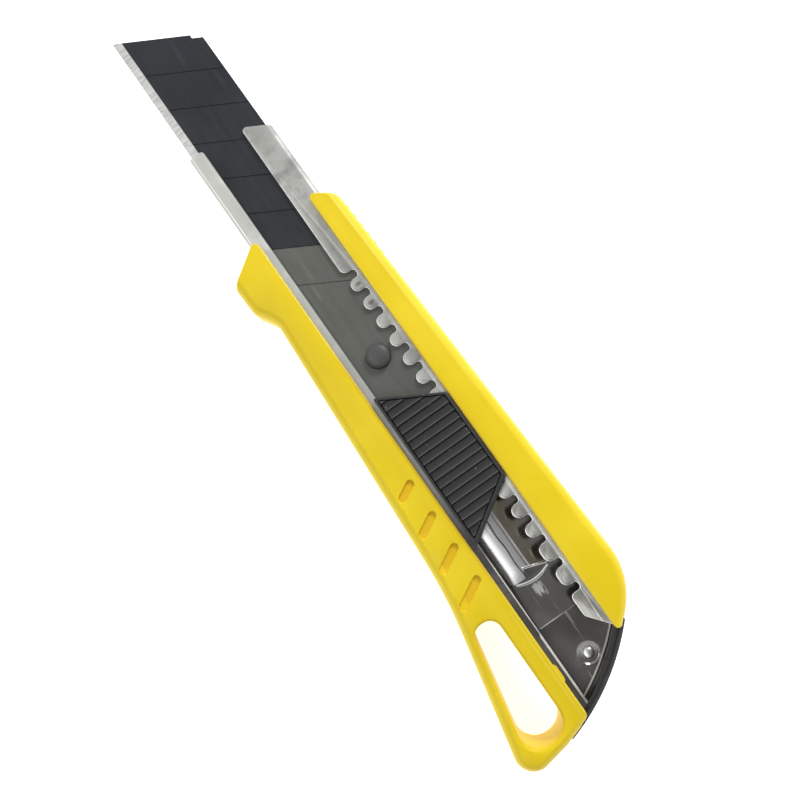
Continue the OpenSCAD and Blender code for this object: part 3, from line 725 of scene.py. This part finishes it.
def folded(y0, y1, z0, z1, low_r, high_r, inset=0.0):
    """The section of a channel, with folds of one radius below and another above."""
    return rounded([(y0, z0, low_r), (y1, z0, low_r), (y1, z1, high_r), (y0, z1, high_r)], inset, step=10)


def along_x(name, section, stations):
    return grow(name, [[(x, y, z) for y, z in section] for x in stations])


CHANNEL = (-1, 19, -4.8, 0.8, 3.1, 1.2)
sheath = along_x("sheath_channel", folded(*CHANNEL), (30, 100, 188))
combine(sheath, along_x("room", folded(*CHANNEL, inset=SHEET), (28, 190)))

# %% [markdown]
# ## Sheath: its ends
# Seen from above, the front is cut on the blade's slant and the back follows the tail's circle.
# One outline trims both ends at once. Two cuts would do as well, but the outline is easier to
# change.

# %% Sheath ends
tail_corner = (TAIL_C.x + SHEATH_R * math.cos(math.radians(17.4)), -3.2)
plan = [(34.2, -2), tail_corner] + flat(on_tail(a, 0, SHEATH_R) for a in range(18, 56))
plan += [(40.4, 23), (39.3, 21), (34.3, 12.4), (33.9, 2), (33.9, 0.6)]
combine(sheath, prism("plan", plan, -7, 3), how="INTERSECT")

# %% [markdown]
# ## Sheath: lips and notches
# The upper lip is punched with the notches that the slider's tooth drops into, half a segment
# apart. The gap between the lips is one outline, drawn along the lower lip and back in and out of
# every notch. Its cutter flares a little, so the punched edges get a hair of rounding. Last, a
# dimple for the rivet's head is turned into the floor.

# %% Lip gap
NOTCHES = [77 + 5 * i for i in range(15)] + [153, 159]
NOTCH_HALF, NOTCH_TOP, NOTCH_R, LOBE_R = 0.9, 15.3, 0.7, 1.59
lip_gap = [(20, -4, 0), (33.9, -4, 0), (33.9, LOW_LIP, 0.9), (120, LOW_LIP, 0), (192, 2.75, 0),
           (192, 16.3, 0), (169.8, 16.3, 1), (165, HIGH_LIP, 1.5)]
for x in reversed(NOTCHES):
    rear_r = 1.2 if x == NOTCHES[-1] else LOBE_R
    lip_gap += [(x + NOTCH_HALF, HIGH_LIP, rear_r), (x + NOTCH_HALF, NOTCH_TOP, NOTCH_R),
                (x - NOTCH_HALF, NOTCH_TOP, NOTCH_R), (x - NOTCH_HALF, HIGH_LIP, LOBE_R)]
lip_gap += [(34.5, 12.75, 0.9), (39.5, 21.4, 0), (20, 21.4, 0)]
combine(sheath, flared("lip gap", rounded(lip_gap, step=14), -0.3, 0.8, 0.14, 3))

# %% Dimple, painted edge highlights, then hand over the sheath
DIMPLE = [(1.3, -4.62), (1.8, -4.58), (2.2, -4.2), (2.45, -4.05), (2.6, -3.9)]


def punched_edge(centre, normal):
    """True on the walls of the upper lip and its notches, which get the bright steel as a painted highlight.
    """
    return centre.z > -0.3 and normal.z < 0.97 and 6 < centre.y < 15.6 and centre.x > 34.5


combine(sheath, turned("dimple", RIVET_AT, DIMPLE, 40))
hand_over(sheath, SHEATH, "handle", "sheath_steel", "sheath", lightened=punched_edge)

# %% [markdown]
# ## Tail rivet
# One rivet holds the channel in the grip. Its bright head is a low dome in the dimple. A squashed
# sphere would do for the head, but a turned profile gives the shank in the same piece.

# %% Tail rivet
DOME_R, DOME_RISE, DOME_Z = 1.45, 0.75, -4.45
dome = [(DOME_R * math.cos(math.radians(a)) + 0.01, DOME_Z + DOME_RISE * math.sin(math.radians(a)))
        for a in range(0, 91, 10)]
rivet = turned("tail_rivet_head", RIVET_AT, [(1.2, -7.8), (1.2, -4.6), (DOME_R, -4.6)] + dome)
hand_over(rivet, RIVET, "handle", "rivet_steel", "tail_rivet", smooth=50)

# %% [markdown]
# ## Liner: strip, rib and opening
# A thinner strip is spot-welded into the channel. A low rib is pressed up along its middle, so that
# the slider runs on a ridge. The rib ends short in a V with a three-cornered opening. It is grown
# from arches whose height falls off at both ends, which a plain bevelled bar can't do.

# %% Liner strip and rib
LINER_LOW, LINER_TOP, RIB_FOOT, RIB_RISE = -4.1, -3.7, -3.72, 0.62


def arch(y0, y1, rise, steps=20):
    """A shallow arc from y0 to y1 as pairs: y, and height above its foot."""
    half = (y1 - y0) / 2
    r = (half * half + rise * rise) / (2 * rise)
    top = math.asin(half / r)
    turns = [-top + 2 * top * k / steps for k in range(steps + 1)]
    return [((y0 + y1) / 2 + r * math.sin(t), rise - r + r * math.cos(t)) for t in turns]


strip = rounded([(88, 3, 0.5), (162.9, 3, 0.5), (162.9, 15.3, 0.5), (88, 15.3, 0.5)])
liner = prism("channel_liner", strip, LINER_LOW, LINER_TOP)
RIB_ENDS = [(92, 0.02), (93, 0.6), (95, 1.0), (149.8, 1.0), (151.2, 0.8), (152.3, 0.35)]
profile = arch(3.1, 12.8, RIB_RISE)[::-1]
rib = grow("rib", [[(x, y, RIB_FOOT + up * share) for y, up in profile] for x, share in RIB_ENDS])
combine(liner, rib, how="UNION")

# %% Liner opening, then hand over the liner
OPENING = [(150.2, 7.7, 0.15), (152.6, 6.9, 0.2), (152.35, 12.5, 0.2)]
combine(liner, prism("opening", rounded(OPENING), -5, -2))
hand_over(liner, LINER, "handle", "liner_steel", "sheath_liner", smooth=24)

# %% [markdown]
# ## Liner: raised folds
# Pressing the rib leaves two thin raised folds in the strip: one behind the rib's end, and one
# along the opening's slanted side. Each is a rod along a path, flattened a little. A curve with a
# bevel would need turning into a mesh, so rings are laid along the path instead.

# %% Liner folds
def bead(name, path, r):
    rings = []
    for i, p in enumerate(path):
        ahead = (Vector(path[min(i + 1, len(path) - 1)]) - Vector(path[max(i - 1, 0)])).normalized()
        side = Vector((-ahead.y, ahead.x, 0)).normalized()
        turns = [2 * math.pi * k / 12 for k in range(12)]
        rings.append([tuple(Vector(p) + side * r * 1.3 * math.cos(t) + Vector((0, 0, r * math.sin(t))))
                      for t in turns])
    return grow(name, rings)


behind = [(152.7 + 0.9 * math.sin(math.pi * k / 12), 4.3 + 8.3 * k / 12, RIB_FOOT) for k in range(13)]
slanted = [(150.1 + 1.8 * k / 8, 7.4 + 5.3 * k / 8, -3.22 - 0.055 * k) for k in range(9)]
# Both folds take the bright steel as a painted highlight.
hand_over(bead("liner_bead", behind, 0.3), BRIGHT, "handle", "liner_steel")
hand_over(bead("liner_fold", slanted, 0.26), BRIGHT, "handle", "liner_steel")

# %% [markdown]
# ## Blade: one segment
# Every segment is the same slanted tile: ground to an edge on one side, and thinned at both ends,
# which makes the score lines where a tip snaps off. It is grown along x from two sections, a full
# one and a scored one, and each point is pushed along x by its y, which gives the slant.

# %% Blade tile
BLADE_W, BLADE_T, GROUND, SCORE = 18, 0.5, 1.9, 0.13


def tile_section(edge_y, spine_z, top_z):
    under = [(edge_y, -0.28), (GROUND, -BLADE_T), (BLADE_W - 0.06, -BLADE_T), (BLADE_W, -0.44)]
    return under + [(BLADE_W, spine_z), (BLADE_W - 0.06, top_z), (GROUND, top_z), (edge_y, -0.22)]


def tile(name, x0, x1):
    full, scored = tile_section(0, -0.06, 0), tile_section(0.28, -SCORE, -SCORE)
    stations = [(x0, scored), (x0 + SCORE, full), (x1 - SCORE, full), (x1, scored)]
    return grow(name, [[(x + y * COT, y, z) for y, z in section] for x, section in stations])


PITCH = 10
pattern = tile("blade_tile_2", PITCH, 2 * PITCH)

# %% [markdown]
# ## Blade: copies and the broken corner
# The other segments are copies, each with its own mesh, moved along by the pitch. The first has
# lost a corner where the last tip broke off, so that corner is cut from its copy. The last
# segment is grey like the tang behind it, because the blackening ends before it.

# %% Blade segments
def copied(piece, name, dx):
    pick(piece)
    bpy.ops.object.duplicate()
    twin = bpy.context.object
    twin.name = twin.data.name = name
    twin.data.transform(Matrix.Translation((dx, 0, 0)))
    return twin


tiles = {2: pattern}
for i in (1, 3, 4, 5, 6, 7):
    tiles[i] = copied(pattern, f"blade_tile_{i}", PITCH * (i - 2))
BREAK = BLADE_W - 2.2
broken = [(-3, BREAK), (BREAK * COT + 1, BREAK), (20 * COT + 1, 20), (-3, 20)]
combine(tiles[1], prism("break", broken, -2, 2))
for i, piece in tiles.items():
    finish, slot = (BLADE, "blade_steel") if i < 7 else (TANG, "tang_steel")
    hand_over(piece, finish, "slider", slot, f"blade_segment_{i}", smooth=4)

# %% Blade tang
PEG_HOLE = [(2.75, -2), (2.75, -0.08), (2.85, 0), (2.9, 1)]
tang = tile("blade_tang_strip", 7 * PITCH, 102.5)
combine(tang, turned("peg hole", PEG_AT, PEG_HOLE))
hand_over(tang, TANG, "slider", "tang_steel", "blade_tang", smooth=4)

# %% [markdown]
# ## Slider: base and neck
# The slider's base runs in the channel under the lips, and a neck rises between them. The base
# is grown along x, with its rear end slanted as the deck's is, and the neck is a low prism. One
# block with side cuts would give the same, with more cuts to go wrong.

# %% Slider base and neck
SLOPE, DECK_FRONT, DECK_REAR, DECK_LOW, DECK_HIGH = 0.63, 101, 142, 2.3, 15.95


def deck_ends(inset, rear):
    """Where the deck's slanted front and rear lines, moved inwards, meet y = 0."""
    return DECK_FRONT + inset / math.sin(SLANT), DECK_REAR - rear * math.sqrt(1 + SLOPE * SLOPE)


def deck(inset, rear):
    """The deck's outline, moved inwards; the rear line has its own inset."""
    low, high = DECK_LOW + inset, DECK_HIGH - inset
    front, back = deck_ends(inset, rear)
    return rounded([(front + low * COT, low, 0.35), (back - SLOPE * low, low, 0.35),
                    (back - SLOPE * high, high, 0.35), (front + high * COT, high, 0.35)], step=15)


section = folded(0.15, 18.15, -3.65, -0.05, 2.6, 0.2)
base_front = [(91.0, y, z) for y, z in section]
base_rear = [(141.4 - SLOPE * y, y, z) for y, z in section]
base = grow("slider_base", [base_front, base_rear])
combine(base, prism("neck", deck(1.0, 1.0), -0.2, 1.0), how="UNION")

# %% [markdown]
# ## Slider: rooms, rim and peg
# A groove under the base clears the liner's rib, and the blade lies in a room in front. A thin
# rim stands round the deck. It is one solid whose rings go up the outside, over the top with
# rounded edges, and down the inside, so the recess for the pad needs no cut. The round peg in
# front holds the blade by its hole.

# %% Slider rooms
blade_room = [(80, -3), (102.65 - 3 * COT, -3), (102.65 + 21 * COT, 21), (80, 21)]
combine(base, block("groove", (80, 2.9, -5), (150, 13, -2.8)), prism("blade room", blade_room, -0.55, 0.9))

# %% Slider rim and peg, then hand over the slider
RIM, RIM_REAR = 0.55, 1.0
RIM_PATH = [(0, 0, 0.95), (0, 0, 3.05), (0.05, 0.05, 3.16), (0.15, 0.15, 3.2),
            (RIM - 0.15, RIM_REAR - 0.15, 3.2), (RIM - 0.05, RIM_REAR - 0.05, 3.16),
            (RIM, RIM_REAR, 3.05), (RIM, RIM_REAR, 1.45)]
PEG = [(2.7, -0.75), (2.7, 1.2), (2.62, 1.34), (2.05, 1.75), (1.95, 1.8)]
combine(base, grow("rim", [level(deck(inset, rear), z) for inset, rear, z in RIM_PATH]), how="UNION")
combine(base, turned("peg", PEG_AT, PEG), how="UNION")
hand_over(base, SLIDER, "slider", "grey_plastic", "slider_carrier")

# %% [markdown]
# ## Thumb pad
# The pad fills the slider's recess with a narrow dark gap all round. Its top is a row of low
# sawtooth ribs square to the knife: each rises gently towards the tail and drops steeply. Ribs
# joined on one by one would overhang the slanted ends, so the pad is grown along x, and each
# section takes its height from the ribs and its width from the slanted outline.

# %% Rib heights
CREST, VALLEY, RIB_START, RIB_PITCH, PAD_GAP = 3.38, 2.86, 102.6, 2.0, 0.16
RIB = [(0.0, VALLEY), (0.35, VALLEY + 0.04), (0.8, VALLEY + 0.14), (1.2, VALLEY + 0.29), (1.5, CREST - 0.04),
       (1.62, CREST), (1.74, CREST - 0.04), (1.86, VALLEY + 0.22), (1.96, VALLEY + 0.03)]
pad_front, pad_back = deck_ends(RIM + PAD_GAP, RIM_REAR + PAD_GAP)
pad_low, pad_high = DECK_LOW + RIM + PAD_GAP, DECK_HIGH - RIM - PAD_GAP
pad_start = DECK_FRONT + DECK_LOW * COT + 0.9
pad_end = pad_back - SLOPE * pad_low - 0.25
rib_count = math.ceil((pad_end + RIB_PITCH - RIB_START) / RIB_PITCH)
marks = [(RIB_START + k * RIB_PITCH + dx, z) for k in range(rib_count) for dx, z in RIB]


def height(x):
    for (xa, za), (xb, zb) in zip(marks, marks[1:]):
        if xa <= x <= xb:
            return za + (zb - za) * (x - xa) / (xb - xa)
    return VALLEY


print(rib_count, "ribs from", round(pad_start, 2), "to", round(pad_end, 2), "mm")

# %% Thumb pad
PAD_FLOOR, PAD_CHAMFER = 2.25, 0.14
corners = [pad_front + pad_high * COT, pad_back - SLOPE * pad_high]
ribs = [x for x, z in marks if pad_start + 0.05 < x < pad_end - 0.05]
pad_rings = []
for x in sorted(ribs + corners + [pad_start, pad_end]):
    low, high = pad_low, min(pad_high, (x - pad_front) / COT, (pad_back - x) / SLOPE)
    top = height(x)
    chamfer = min(PAD_CHAMFER, (high - low) / 4)
    pad_rings.append([(x, low, PAD_FLOOR), (x, high, PAD_FLOOR), (x, high, top - PAD_CHAMFER),
                      (x, high - chamfer, top), (x, low + chamfer, top), (x, low, top - PAD_CHAMFER)])
hand_over(grow("ribbed_pad", pad_rings), PAD, "thumb_pad", "pad_plastic", "thumb_pad", smooth=22)

# %% [markdown]
# ## End cap
# The cap is a thin crescent that follows the tail's curve and closes the channel. Two flat prongs
# hold it in the grip. The crescent's edges are eased by three rings at each face, smaller by a
# small inset, because a Bevel modifier would also round the ends of the prongs.

# %% End cap
CAP_PATH = [(0.3, -9.4), (0.08, -9.3), (0, -9.1), (0, -0.3), (0.08, -0.1), (0.3, 0)]
PRONGS = [(4.45, 178.5), (13.05, 173)]


def crescent(inset, steps=40):
    """Along the cap's outer arc, then back along its inner arc."""
    points = []
    for r, way in ((CAP_OUT_R - inset, 1), (CAP_IN_R + inset, -1)):
        low, high = (math.degrees(math.asin((y - TAIL_C.y) / r)) for y in (CAP_LOW + inset, CAP_HIGH - inset))
        points += flat(on_tail(low + (high - low) * k / steps, 0, r) for k in range(steps + 1))[::way]
    return points


cap = grow("end_cap_crescent", [level(crescent(inset), z) for inset, z in CAP_PATH])
for y, root in PRONGS:
    combine(cap, block("prong", (162, y - 2, -8.2), (root, y + 2, -5.9)), how="UNION")
hand_over(cap, CAP, "end_cap", "black_plastic", "end_cap")

# %% [markdown]
# ## Hidden spring
# The lock spring and its two rivets sit inside the slider. They could be modelled again like the
# rest, but nobody sees them and their shapes are right as they are, so they only get a finish.

# %% Spring and rivets
for name, material in (("lock_spring", SPRING), ("spring_rivets", RIVET)):
    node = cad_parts[name]
    node.data.materials.clear()
    node.data.materials.append(material)
    print(name, "keeps its shape and gets", material.name)

# %% [markdown]
# ## Table
# The knife lies on a pale table. A white plane alone would go grey in the corners, so the table
# also glows a little, which keeps the ground even behind the knife and leaves a faint shadow.

# %% Table
pick(None)
bpy.ops.mesh.primitive_grid_add(x_subdivisions=8, y_subdivisions=8, size=4, location=(0, 0, -0.0002))
table = bpy.context.object
table.name = "table"
paint = Paint("pale table")
soft = paint.speckle(6, 3)
pale = paint.blend(soft, (0.93, 0.93, 0.93), (0.96, 0.96, 0.96))
table.data.materials.append(paint.finish(pale, 0.75, soft, 0.0001,
                                         Emission_Color=(1, 1, 1, 1), Emission_Strength=0.8))

# %% [markdown]
# ## Light
# A studio is built round the knife as a pattern in the sky: a bright patch high on the side of
# the cutting edge, which the lips mirror, a softer one towards the blade's tip, and a low even
# band. Nothing bright stands above the tail, so the channel there goes dark. One square lamp from
# the spine's side adds the shadow. Real softboxes would also work, but steel mirrors their edges.

# %% Sky
world = bpy.data.worlds.new("studio")
bpy.context.scene.world = world
world.use_nodes = True
sky = Nodes(world.node_tree)
ax, ay, az = sky.parts(sky.node("ShaderNodeTexCoord", output="Generated"))
patch = ay.rise(-0.18, -0.34) * az.rise(0.62, 0.80) * 1.75
tip_side = ax.rise(-0.05, -0.40) * 0.42
low_band = az.rise(0.80, 0.45) * 0.34
glow = patch.most(tip_side).most(low_band) + 0.20
backdrop = sky.node("ShaderNodeBackground", {}, {"Color": (1, 1, 1, 1), "Strength": glow})
sky.close("ShaderNodeOutputWorld", backdrop)
print("sky has", len(sky.tree.nodes), "nodes")

# %% Key light
LAMP_AT = Vector((-0.30, 0.50, 0.40))
light = bpy.data.lights.new("key light", "AREA")
light.shape, light.size, light.size_y = "RECTANGLE", 0.22, 0.22
light.energy = 3.4
lamp = bpy.data.objects.new("key light", light)
bpy.context.scene.collection.objects.link(lamp)
lamp.location = LAMP_AT
lamp.rotation_euler = (-LAMP_AT).to_track_quat("-Z", "Y").to_euler()
print("key light", round(LAMP_AT.length, 2), "m from the knife")

# %% [markdown]
# ## Camera
# The camera looks almost straight down, with the knife running from the upper left to the lower
# right. Its place and turn are written in the maker's frame, so they stay tied to the knife.

# %% Camera
RIGHT, UP = Vector((0.57281, 0.81719, -0.06397)), Vector((-0.81186, 0.57637, 0.09322))
BACK = Vector((0.11305, -0.00146, 0.99359))
camera_at = TO_FRAME @ Vector((127.694, 6.674, 193.749))
camera = bpy.data.objects.new("camera", bpy.data.cameras.new("camera"))
bpy.context.scene.collection.objects.link(camera)
camera.matrix_world = Matrix.Translation(camera_at) @ Matrix((RIGHT, UP, BACK)).transposed().to_4x4()
camera.data.lens, camera.data.sensor_width, camera.data.clip_start = 40.54, 36, 0.01
bpy.context.scene.camera = camera
bpy.context.scene.view_settings.view_transform = "Standard"
print("camera", [round(c, 4) for c in camera_at])
